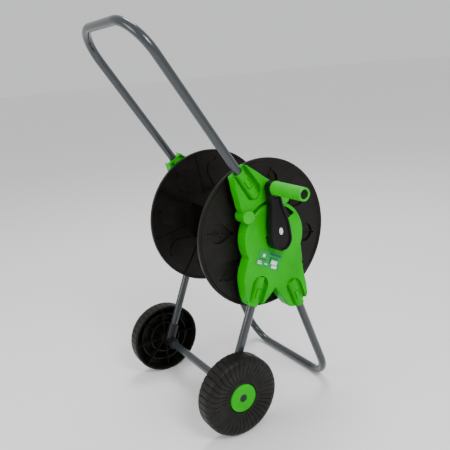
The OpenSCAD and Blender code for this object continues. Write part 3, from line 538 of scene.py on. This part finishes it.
def makeLever():
    low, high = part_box("crank_lever")
    back, front = high.x - leverShape["depth"] * mm, high.x
    centre = Vector((0, hub.y, hub.z))
    slices = []
    for degrees in leverShape["hubAngles"]:
        angle = math.radians(degrees)
        slices.append((leverShape["hubRadius"] * math.sin(angle), leverShape["hubRadius"] * math.cos(angle)))
    slices += leverShape["waist"]
    for degrees in leverShape["topAngles"]:
        angle = math.radians(degrees)
        slices.append((leverShape["topHeight"] + leverShape["topRadius"] * math.sin(angle),
                       leverShape["topRadius"] * math.cos(angle)))
    height, width = leverShape["foot"]
    bpy.ops.mesh.primitive_cube_add(size=1, location=((back + front) / 2, centre.y,
                                                      centre.z + (height + slices[0][0]) / 2 * mm))
    lever = bpy.context.active_object
    lever.name = "crankLever"
    lever.scale = (front - back, 2 * slices[0][1] * mm, (slices[0][0] - height) * mm)
    applyPlace(lever)
    startEdit(lever)
    pick("faces", lambda face: face.normal.z < -0.9)
    bpy.ops.transform.resize(value=(1, width / slices[0][1], 1), center_override=centre)
    pickAgain("faces", lambda face: face.normal.z > 0.9)
    lastHeight, lastWidth = slices[0]
    for height, width in slices[1:]:
        bpy.ops.mesh.extrude_region_move(TRANSFORM_OT_translate={"value": (0, 0, (height - lastHeight) * mm)})
        bpy.ops.transform.resize(value=(1, width / lastWidth, 1), center_override=centre)
        lastHeight, lastWidth = height, width

    # hollow the back, then sink the front panel inside its rim
    pickAgain("faces", lambda face: face.normal.x < -0.9)
    bpy.ops.mesh.inset(thickness=leverShape["wall"] * mm)
    bpy.ops.mesh.extrude_region_move(TRANSFORM_OT_translate={"value": (leverShape["hollow"] * mm, 0, 0)})
    bpy.ops.mesh.select_mode(type="EDGE")
    pickAgain("edges", lambda edge: len(edge.link_faces) == 2
              and min(v.co.x for v in edge.verts) > front - 0.1 * mm
              and min(face.normal.x for face in edge.link_faces) < 0.5)
    bpy.ops.mesh.bevel(offset=leverShape["edgeRound"] * mm, segments=4, affect="EDGES")
    bpy.ops.mesh.select_mode(type="FACE")
    pickAgain("faces", lambda face: face.normal.x > 0.999 and face.calc_center_median().x > front - 0.1 * mm)
    bpy.ops.mesh.inset(thickness=leverShape["rim"] * mm)
    bpy.ops.mesh.extrude_region_move(TRANSFORM_OT_translate={"value": (-leverShape["panelSink"] * mm, 0, 0)})
    stepWidth, stepDepth = leverShape["panelStep"]
    bpy.ops.mesh.inset(thickness=stepWidth * mm, depth=stepDepth * mm)
    leaveEdit()

    # the arch moulded across the panel, round the grip's boss
    panel = front - leverShape["panelSink"] * mm
    top = centre.z + leverShape["topHeight"] * mm
    bpy.ops.mesh.primitive_torus_add(major_radius=leverShape["archRadius"] * mm, major_segments=96,
                                     minor_radius=leverShape["archWidth"] * mm, minor_segments=10,
                                     location=(panel, centre.y, top), rotation=(0, math.pi / 2, 0))
    arch = bpy.context.active_object
    applyPlace(arch)
    startEdit(arch)
    bpy.ops.mesh.select_all(action="SELECT")
    bpy.ops.mesh.bisect(plane_co=(0, centre.y, top - leverShape["archCut"] * mm), plane_no=(0, 0, 1),
                        clear_outer=True, use_fill=True)
    leaveEdit()

    # the castellated ring
    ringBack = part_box("hub_bush_crank")[1].x + leverShape["ringGap"] * mm
    ringFront = back + leverShape["ringOverlap"] * mm
    columns = leverShape["ringTeeth"] * 4
    ring = roundBlank("leverRing", centre, ringBack, ringFront, leverShape["ringRadius"] * mm, columns)
    startEdit(ring)

    def onTooth(face):
        middle = face.calc_center_median()
        angle = math.degrees(math.atan2(middle.z - centre.z, middle.y - centre.y))
        return abs(face.normal.x) < 0.1 and int(angle % 360 / (360 / columns)) % 4 < 2

    pick("faces", onTooth)
    bpy.ops.mesh.extrude_region_shrink_fatten(
        TRANSFORM_OT_shrink_fatten={"value": leverShape["toothHeight"] * mm})
    leaveEdit()
    joinInto(lever, arch, ring)
    startEdit(lever)
    bpy.ops.mesh.select_all(action="SELECT")
    bpy.ops.transform.rotate(value=-math.radians(leverShape["lean"]), orient_axis="X", center_override=centre)
    leaveEdit()
    softenEdges(lever, leverShape["softening"] * mm, 2, leverShape["crease"])
    paint(lever, "blackLeverPlastic")
    return lever


# The print on the lever: one plain oval spot in place of lettering.
markShape = {"height": 18, "wide": 9, "tall": 15, "thickness": 0.25, "softening": 0.1}


def makeLeverMark():
    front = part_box("crank_lever")[1].x - leverShape["panelSink"] * mm
    bpy.ops.mesh.primitive_cylinder_add(
        vertices=48, radius=0.5, depth=1, rotation=(0, math.pi / 2, 0),
        location=(front, hub.y, hub.z + markShape["height"] * mm))
    mark = bpy.context.active_object
    mark.name = "leverMark"
    mark.scale = (markShape["tall"] * mm, markShape["wide"] * mm, 2 * markShape["thickness"] * mm)
    applyPlace(mark)
    startEdit(mark)
    bpy.ops.mesh.select_all(action="SELECT")
    bpy.ops.transform.rotate(value=-math.radians(leverShape["lean"]), orient_axis="X",
                             center_override=(front, hub.y, hub.z))
    leaveEdit()
    softenEdges(mark, markShape["softening"] * mm, 1)
    paint(mark, "whiteLabelInk")
    return mark


settle(makeLeverMark(), "reel", "label_film")
settle(makeLever(), "reel", "lever_plastic", "crank_lever")
print("lever and its mark made")

# The label: a thin film with plain printed blocks, and no lettering. Cells are 2 mm squares
# counted from its lower rear corner.
labelShape = {
    "cells": (31, 17), "tilt": -28, "lift": 0.02, "thickness": 0.35,
    "white": [(19, 27, 5, 9), (21, 28, 1, 4), (6, 9, 10, 13), (2, 8, 2, 3), (2, 7, 4, 5), (11, 15, 3, 4)],
    "dark": [(14, 29, 14, 16), (2, 13, 7, 8), (16, 18, 5, 12), (19, 27, 11, 12)],
}


def makeLabel():
    low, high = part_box("side_label")
    centre = (low + high) / 2
    wide, tall = labelShape["cells"]
    bpy.ops.mesh.primitive_grid_add(x_subdivisions=wide, y_subdivisions=tall, size=2,
                                    location=(low.x + labelShape["lift"] * mm, centre.y, centre.z))
    label = bpy.context.active_object
    label.name = "sideLabel"
    label.scale = (wide * mm, tall * mm, 1)
    applyPlace(label)
    paint(label, "tealLabelFilm", "whiteLabelInk", "darkLabelInk")
    startEdit(label)
    for index, blocks in ((1, labelShape["white"]), (2, labelShape["dark"])):
        for x0, x1, y0, y1 in blocks:
            def inBlock(face):
                place = face.calc_center_median() - centre
                column = (place.x + (centre.x - low.x) + wide * mm) / (2 * mm)
                row = (place.y + tall * mm) / (2 * mm)
                return x0 <= column <= x1 and y0 <= row <= y1
            pickAgain("faces", inBlock)
            label.active_material_index = index
            bpy.ops.object.material_slot_assign()
    bpy.ops.mesh.select_all(action="SELECT")
    bpy.ops.mesh.extrude_region_move(TRANSFORM_OT_translate={"value": (0, 0, labelShape["thickness"] * mm)})
    leaveEdit()
    # stands the film up against the plate: across becomes forwards, then the tilt
    upright = Matrix(((0, 0, 1, 0), (1, 0, 0, 0), (0, 1, 0, 0), (0, 0, 0, 1)))
    tilt = Matrix.Rotation(math.radians(labelShape["tilt"]), 4, "X")
    label.data.transform(Matrix.Translation(centre) @ tilt @ upright @ Matrix.Translation(-centre))
    return label


settle(makeLabel(), "frame", "label_film", "side_label")
print("label made")

# The reel discs keep the CAD part's pockets, ribs and rim, and get a midrib and side veins
# cut into the floor of every leaf.
veinShape = {
    "leafCount": 8, "phase": 168, "from": 78, "to": 134, "width": 2.6, "depth": 1.0, "taper": 0.25,
    "sideVeins": [(86, 13), (95, 17), (105, 20), (115, 18), (124, 11)], "sideAngle": 38,
    "drawnFloor": 3, "pocketFloor": 4.8, "bumpFrom": 6, "bumpRound": 0.9, "webGap": 3,
}


def veinCutter(centre, faceX, outwards):
    cutters = []
    floorX = faceX - outwards * veinShape["pocketFloor"] * mm

    def addCutter(reach, sideways, length, degrees):
        middle = Vector((floorX, centre.y + reach * mm, centre.z + sideways * mm))
        bpy.ops.mesh.primitive_cube_add(size=1, location=middle)
        bar = bpy.context.active_object
        bar.scale = (2 * veinShape["depth"] * mm, length * mm, veinShape["width"] * mm)
        applyPlace(bar)
        startEdit(bar)
        pick("faces", lambda face: face.normal.x * outwards < -0.9)
        bpy.ops.transform.resize(value=(1, 1, veinShape["taper"]), center_override=middle)
        leaveEdit()
        bar.data.transform(Matrix.Translation(middle) @ Matrix.Rotation(math.radians(degrees), 4, "X")
                           @ Matrix.Translation(-middle))
        cutters.append(bar)

    addCutter((veinShape["from"] + veinShape["to"]) / 2, 0, veinShape["to"] - veinShape["from"], 0)
    for reach, length in veinShape["sideVeins"]:
        for side in (-1, 1):
            lean = math.radians(veinShape["sideAngle"])
            addCutter(reach - length / 2 * math.cos(lean), side * length / 2 * math.sin(lean), length,
                      -side * veinShape["sideAngle"])
    joinInto(*cutters)
    leaf = cutters[0]
    leaves = [leaf]
    for i in range(1, veinShape["leafCount"]):
        leaves.append(duplicateOf(leaf, "leafCutter"))
    for i, item in enumerate(leaves):
        degrees = veinShape["phase"] + i * 360 / veinShape["leafCount"]
        item.data.transform(Matrix.Translation(centre) @ Matrix.Rotation(math.radians(degrees), 4, "X")
                            @ Matrix.Translation(-centre))
    joinInto(*leaves)
    return leaf


def makeReelDisc(name, nodeName, outwards):
    disc = copyOfPart(nodeName, name)
    low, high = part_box("drum_stave_upper")
    staveEnd = high.x if outwards > 0 else low.x
    faceX = staveEnd + outwards * veinShape["webGap"] * mm      # the stave ends on the web's inner face
    drawnX = faceX - outwards * veinShape["drawnFloor"] * mm
    bumpX = faceX - outwards * veinShape["bumpFrom"] * mm
    startEdit(disc)
    pick("faces", lambda face: face.normal.x * outwards > 0.99
         and abs(face.calc_center_median().x - drawnX) < 0.2 * mm)
    deeper = veinShape["pocketFloor"] - veinShape["drawnFloor"]
    bpy.ops.transform.translate(value=(-outwards * deeper * mm, 0, 0))
    leaveEdit()

    # the bumps behind the leaves get a rounded edge
    startEdit(disc, "EDGE")
    pick("edges", lambda edge: len(edge.link_faces) == 2
         and all(abs(v.co.x - bumpX) < 0.1 * mm for v in edge.verts)
         and max(abs(face.normal.x) for face in edge.link_faces) > 0.99
         and min(abs(face.normal.x) for face in edge.link_faces) < 0.1)
    bpy.ops.mesh.bevel(offset=veinShape["bumpRound"] * mm, segments=2, affect="EDGES", clamp_overlap=False)
    leaveEdit()
    cutAway(disc, veinCutter(Vector((0, hub.y, hub.z)), faceX, outwards))
    smoothFaces(disc)
    paint(disc, "blackReelPlastic")
    settle(disc, "reel", "reel_plastic", nodeName)


makeReelDisc("reelDiscCrank", "reel_disc_crank", 1)
makeReelDisc("reelDiscFar", "reel_disc_far", -1)
print("reel discs made")

# The tubes, plates, brackets, pins, axle joints and staves keep the CAD part's shape. The last
# value is how far their edges are softened, in mm.
partsAsDrawn = {
    "handleTube": ("handle_tube", "frame", "frame_paint", "slatePowderCoat", 0.3),
    "footTube": ("foot_tube", "frame", "frame_paint", "slatePowderCoat", 0.3),
    "rearLegCrank": ("rear_leg_crank", "frame", "frame_paint", "slatePowderCoat", 0.3),
    "rearLegFar": ("rear_leg_far", "frame", "frame_paint", "slatePowderCoat", 0.3),
    "axleTube": ("axle_tube", "frame", "frame_paint", "slatePowderCoat", 0.3),
    "sidePlateCrank": ("side_plate_crank", "frame", "green_plastic", "greenPolypropylene", 0.4),
    "sidePlateFar": ("side_plate_far", "frame", "green_plastic", "greenPolypropylene", 0.4),
    "upperBracketCrank": ("upper_bracket_crank", "frame", "green_plastic", "greenPolypropylene", 0.4),
    "upperBracketFar": ("upper_bracket_far", "frame", "green_plastic", "greenPolypropylene", 0.4),
    "bracketPins": ("bracket_pins", "frame", "green_plastic", "greenGripPlastic", 1.0),
    "axleJointCrank": ("axle_joint_crank", "frame", "joint_plastic", "blackJointPlastic", 0.5),
    "axleJointFar": ("axle_joint_far", "frame", "joint_plastic", "blackJointPlastic", 0.5),
    "drumStaveUpper": ("drum_stave_upper", "reel", "reel_plastic", "blackReelPlastic", 0),
    "drumStaveLower": ("drum_stave_lower", "reel", "reel_plastic", "blackReelPlastic", 0),
}
plateShape = {"edgeRound": 4.5, "bracketRound": 3.0, "lobesFrom": 105, "slopeFrom": 84, "slopeBeyond": -14,
              "mouthFrom": 158, "handleLean": 32.3, "handleLead": 22, "fillRecess": 4,
              "bracketDepth": 22, "bracketWall": 3, "floorArea": 2500, "weld": 0.05}


# Rounds the outer edge of a plate's face: the edges whose wall runs right down to the back.
def roundOutline(piece, faceX, backX, width, leaveOut):
    startEdit(piece, "EDGE")

    def onOutline(edge):
        if len(edge.link_faces) != 2 or any(abs(v.co.x - faceX) > 0.1 * mm for v in edge.verts):
            return False
        walls = [face for face in edge.link_faces if abs(face.normal.x) < 0.1]
        return (len(walls) == 1 and any(abs(v.co.x - backX) < 0.5 * mm for v in walls[0].verts)
                and not leaveOut(sum((v.co for v in edge.verts), Vector()) / 2))

    pick("edges", onOutline)
    bpy.ops.mesh.bevel(offset=width, segments=4, affect="EDGES", clamp_overlap=False)
    bpy.ops.mesh.select_all(action="SELECT")
    bpy.ops.mesh.remove_doubles(threshold=plateShape["weld"] * mm)
    leaveEdit()


# The brackets are closed on the reel side, a little below their edge.
def fillBracket(piece, backX, outwards):
    startEdit(piece)
    floors = []

    def onFloor(face):
        found = face.normal.x * outwards < -0.99 and face.calc_area() > plateShape["floorArea"] * mm * mm
        if found:
            floors.append(face.calc_center_median().x)
        return found

    pick("faces", onFloor)
    reach = abs(floors[0] - backX) - plateShape["fillRecess"] * mm
    bpy.ops.mesh.extrude_region_move(TRANSFORM_OT_translate={"value": (-outwards * reach, 0, 0)})
    leaveEdit()


# The edge stays as drawn on the lobes' ends, beside their sockets, and where the front lobe
# steps outwards over the wider foot tube.
def onLobeEnd(point):
    down = (hub.z - point.z) / mm
    return (down > plateShape["lobesFrom"]
            or down > plateShape["slopeFrom"] and (point.y - hub.y) / mm > plateShape["slopeBeyond"])


def onBracketMouth(point):
    lean = math.radians(plateShape["handleLean"])
    back = (hub.y - point.y) / mm + plateShape["handleLead"]
    return back * math.sin(lean) + (point.z - hub.z) / mm * math.cos(lean) > plateShape["mouthFrom"]


for pieceName, (nodeName, body, slotName, finish, softening) in partsAsDrawn.items():
    piece = copyOfPart(nodeName, pieceName)
    low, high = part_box(nodeName)
    outwards = -1 if nodeName.endswith("_far") else 1
    if nodeName.startswith("side_plate"):
        bushLow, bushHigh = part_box(nodeName.replace("side_plate", "hub_bush"))
        faceX, backX = (bushHigh.x, low.x) if outwards > 0 else (bushLow.x, high.x)
        roundOutline(piece, faceX, backX, plateShape["edgeRound"] * mm, onLobeEnd)
    if nodeName.startswith("upper_bracket"):
        tubeLow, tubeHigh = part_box("handle_tube")
        faceX = (tubeHigh.x if outwards > 0 else tubeLow.x) + outwards * plateShape["bracketWall"] * mm
        backX = faceX - outwards * plateShape["bracketDepth"] * mm
        fillBracket(piece, backX, outwards)
        roundOutline(piece, faceX, backX, plateShape["bracketRound"] * mm, onBracketMouth)
    if softening:
        softenEdges(piece, softening * mm)
    else:
        smoothFaces(piece)
    paint(piece, finish)
    settle(piece, body, slotName, nodeName)
print("parts as drawn:", len(partsAsDrawn))

# CAD parts that stay as they are and only get their finish.
partsKept = {
    "zincSteel": ["axle_rod", "wheel_washers", "axle_retainers", "drum_screws", "crank_bolt", "inlet_screws"],
    "whiteAcetal": ["hub_bush_crank", "hub_bush_far"],
    "blackLeverPlastic": ["grip_spindle"],
    "paleTubePlastic": ["swivel_tube"],
    "blackSealRubber": ["swivel_seal"],
    "blackFittingPlastic": ["outlet_elbow", "inlet_elbow"],
}
for finish, nodeNames in partsKept.items():
    for nodeName in nodeNames:
        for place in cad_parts[nodeName].material_slots:
            place.material = finishes[finish]
print("parts kept:", sum(len(names) for names in partsKept.values()))

# A pale floor, soft studio light all round, and the camera.
studio = {"floorSize": 60, "floorTone": "f7f7f6", "skyTone": "fbfcfd", "skyStrength": 0.8,
          "floorRough": 0.7}
bpy.ops.mesh.primitive_plane_add(size=studio["floorSize"], location=(0, 0, 0))
floor = bpy.context.active_object
floor.name = "studioFloor"
floorPaint = bpy.data.materials.new("paleFloor")
floorPaint.use_nodes = True
floorShader = floorPaint.node_tree.nodes["Principled BSDF"]
floorShader.inputs["Base Color"].default_value = hexColour(studio["floorTone"])
floorShader.inputs["Roughness"].default_value = studio["floorRough"]
floor.data.materials.append(floorPaint)
world = bpy.data.worlds.new("studioSky")
world.use_nodes = True
sky = world.node_tree.nodes["Background"]
sky.inputs["Color"].default_value = hexColour(studio["skyTone"])
sky.inputs["Strength"].default_value = studio["skyStrength"]
bpy.context.scene.world = world

# Each light: place, what it points at, size and power.
lights = {
    "keyLight": ((1.8, -0.1, 1.9), (0, 0, 0.4), 0.7, 32),
    "fillLight": ((-0.1, -2.6, 1.3), (0, 0, 0.4), 1.2, 24),
    "topLight": ((-0.7, 0.5, 2.6), (0, 0, 0.4), 0.8, 26),
}
for lightName, (place, target, size, power) in lights.items():
    bpy.ops.object.light_add(type="AREA", location=place)
    lamp = bpy.context.active_object
    lamp.name = lightName
    lamp.data.size = size
    lamp.data.energy = power
    lamp.rotation_euler = (Vector(target) - Vector(place)).to_track_quat("-Z", "Y").to_euler()

# Azimuth is measured from straight behind the cart, towards the crank side.
cameraSetup = {"azimuth": 58.82, "elevation": 16.01, "roll": -5.0, "target": (-0.04964, 0.03297, 0.38564),
               "distance": 1.28032, "lens": 44.87, "sensor": 36}
turn = math.radians(cameraSetup["azimuth"])
rise = math.radians(cameraSetup["elevation"])
roll = math.radians(cameraSetup["roll"])
back = Vector((math.sin(turn) * math.cos(rise), -math.cos(turn) * math.cos(rise), math.sin(rise)))
right = (-back).cross(Vector((0, 0, 1))).normalized()
up = right.cross(-back)
sideways = right * math.cos(roll) + up * math.sin(roll)
upright = up * math.cos(roll) - right * math.sin(roll)
bpy.ops.object.camera_add()
camera = bpy.context.active_object
camera.name = "studioCamera"
camera.data.lens = cameraSetup["lens"]
camera.data.sensor_width = cameraSetup["sensor"]
facing = Matrix((sideways, upright, back)).transposed().to_4x4()
place = Vector(cameraSetup["target"]) + back * cameraSetup["distance"]
camera.matrix_world = Matrix.Translation(place) @ facing
bpy.context.scene.camera = camera
print("studio ready")
